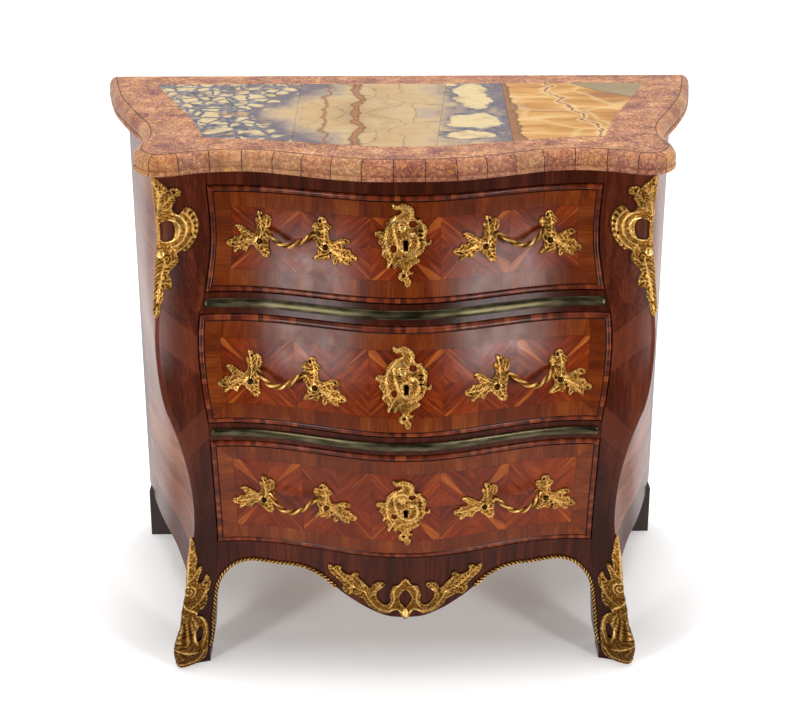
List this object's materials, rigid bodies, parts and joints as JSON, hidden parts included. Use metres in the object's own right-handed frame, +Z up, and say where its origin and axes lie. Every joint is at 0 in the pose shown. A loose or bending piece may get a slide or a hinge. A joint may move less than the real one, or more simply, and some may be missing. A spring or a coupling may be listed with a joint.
{
  "type": "commode chest of drawers",
  "caption": "Bombé commode with serpentine drawers that slide out, rising lock bolts, an inlaid stone top, curved legs and gilt handles, key plates, corner mounts and foot mounts.",
  "frame": {"origin": "on the floor, under the middle of the bounding box", "axes": "+X to the right of someone facing the front, -Y out of the front, +Z up"},
  "size_m": [0.98, 0.5918, 0.84],
  "materials": {
    "front_veneer": "polished kingwood and tulipwood parquetry",
    "stile_veneer": "polished dark kingwood veneer",
    "side_veneer": "polished veneer in large matched fields",
    "pine": "bare planed softwood",
    "dark_post": "stained near black",
    "gilt_bronze": "fire-gilt cast bronze, burnished high points",
    "aged_brass": "drawn brass, olive tarnish",
    "iron": "dark forged iron",
    "brocatelle": "polished reddish brocatelle marble, opaque",
    "breccia": "polished violet breccia, opaque",
    "alabaster": "polished banded alabaster, opaque",
    "onyx": "polished ochre onyx, opaque"
  },
  "bodies": {
    "carcase": {"marble_slab": "brocatelle", "field_breccia_left": "breccia", "field_alabaster": "alabaster", "field_breccia_middle": "breccia", "field_onyx": "onyx", "side_panel_right": "side_veneer", "side_panel_left": "side_veneer", "front_stile_right": "stile_veneer", "front_stile_left": "stile_veneer", "rear_post_right": "dark_post", "rear_post_left": "dark_post", "guide_panel_right": "pine", "guide_panel_left": "pine", "back_panel": "pine", "frieze_rail": "stile_veneer", "traverse_upper": "stile_veneer", "traverse_lower": "stile_veneer", "brass_strip_upper": "aged_brass", "brass_strip_lower": "aged_brass", "dust_board_upper": "pine", "dust_board_lower": "pine", "bottom_board": "pine", "apron": "stile_veneer", "apron_mount": "gilt_bronze", "chute_right": "gilt_bronze", "chute_left": "gilt_bronze", "sabot_right": "gilt_bronze", "sabot_left": "gilt_bronze", "edging_right": "gilt_bronze", "edging_left": "gilt_bronze"},
    "drawer_upper": {"drawer_upper_front": "front_veneer", "drawer_upper_side_right": "pine", "drawer_upper_side_left": "pine", "drawer_upper_bottom": "pine", "drawer_upper_back": "pine", "handle_upper_right": "gilt_bronze", "handle_upper_left": "gilt_bronze", "escutcheon_upper": "gilt_bronze", "lock_case_upper": "iron"},
    "drawer_middle": {"drawer_middle_front": "front_veneer", "drawer_middle_side_right": "pine", "drawer_middle_side_left": "pine", "drawer_middle_bottom": "pine", "drawer_middle_back": "pine", "handle_middle_right": "gilt_bronze", "handle_middle_left": "gilt_bronze", "escutcheon_middle": "gilt_bronze", "lock_case_middle": "iron"},
    "drawer_lower": {"drawer_lower_front": "front_veneer", "drawer_lower_side_right": "pine", "drawer_lower_side_left": "pine", "drawer_lower_bottom": "pine", "drawer_lower_back": "pine", "handle_lower_right": "gilt_bronze", "handle_lower_left": "gilt_bronze", "escutcheon_lower": "gilt_bronze", "lock_case_lower": "iron"},
    "bolt_upper": {"lock_bolt_upper": "iron"},
    "bolt_middle": {"lock_bolt_middle": "iron"},
    "bolt_lower": {"lock_bolt_lower": "iron"}
  },
  "joints": [
    {"name": "drawer_upper_slide", "type": "slide", "parent": "carcase", "child": "drawer_upper", "axis": [0, -1, 0], "range_m": [0, 0.33]},
    {"name": "drawer_middle_slide", "type": "slide", "parent": "carcase", "child": "drawer_middle", "axis": [0, -1, 0], "range_m": [0, 0.33]},
    {"name": "drawer_lower_slide", "type": "slide", "parent": "carcase", "child": "drawer_lower", "axis": [0, -1, 0], "range_m": [0, 0.33]},
    {"name": "bolt_upper_throw", "type": "slide", "parent": "drawer_upper", "child": "bolt_upper", "axis": [0, 0, 1], "range_m": [0, 0.009]},
    {"name": "bolt_middle_throw", "type": "slide", "parent": "drawer_middle", "child": "bolt_middle", "axis": [0, 0, 1], "range_m": [0, 0.009]},
    {"name": "bolt_lower_throw", "type": "slide", "parent": "drawer_lower", "child": "bolt_lower", "axis": [0, 0, 1], "range_m": [0, 0.009]}
  ]
}
